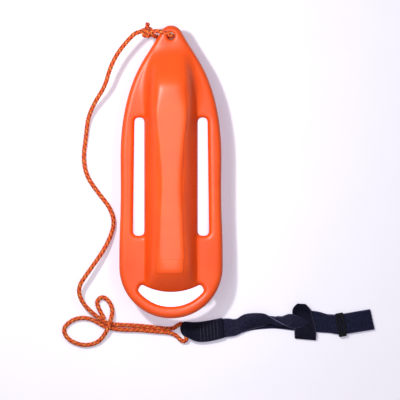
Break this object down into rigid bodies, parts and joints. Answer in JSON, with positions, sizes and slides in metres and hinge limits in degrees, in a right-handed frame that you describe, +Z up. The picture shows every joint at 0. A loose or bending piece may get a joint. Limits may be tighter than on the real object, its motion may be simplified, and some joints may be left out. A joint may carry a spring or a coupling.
{
  "type": "rescue tube",
  "caption": "Torpedo-shaped hard float with side and tail grips, a braided tow line through its nose and a webbing shoulder strap.",
  "frame": {"origin": "middle of the flat on the hull's underside, on which it lies", "axes": "+Z up, +Y along the hull towards its nose, +X to the right seen from above with the nose away"},
  "size_m": [0.7697, 0.7987, 0.136],
  "materials": {
    "orange_hull": "moulded polyethylene, satin",
    "white_foam": "closed-cell foam",
    "orange_plug": "moulded, satin",
    "orange_rope": "braided polypropylene",
    "navy_webbing": "woven polyester webbing",
    "black_thread": "bonded sewing thread",
    "black_plastic": "moulded acetal, fine texture"
  },
  "bodies": {
    "hull": {"hull_shell": "orange_hull", "foam_core": "white_foam", "fill_plug": "orange_plug", "vent_plug": "orange_plug"},
    "line": {"tow_line": "orange_rope", "nose_loop": "orange_rope", "nose_knot": "orange_rope", "knot_tail": "orange_rope"},
    "strap": {"shoulder_strap": "navy_webbing", "strap_stitching": "black_thread", "strap_keeper": "navy_webbing"},
    "slider": {"strap_slider": "black_plastic"}
  },
  "joints": [
    {"name": "line_swing", "type": "hinge", "parent": "hull", "child": "line", "pos_m": [0, 0.334, 0.068], "axis": [0, 0, 1], "range_deg": [-150, 0]},
    {"name": "strap_lift", "type": "hinge", "parent": "line", "child": "strap", "pos_m": [0.0355, -0.39475, 0.011], "axis": [0.2484, -0.9687, 0], "range_deg": [0, 100]},
    {"name": "slider_slide", "type": "slide", "parent": "strap", "child": "slider", "axis": [0.9847, 0.1745, 0], "range_m": [0, 0.058]}
  ]
}
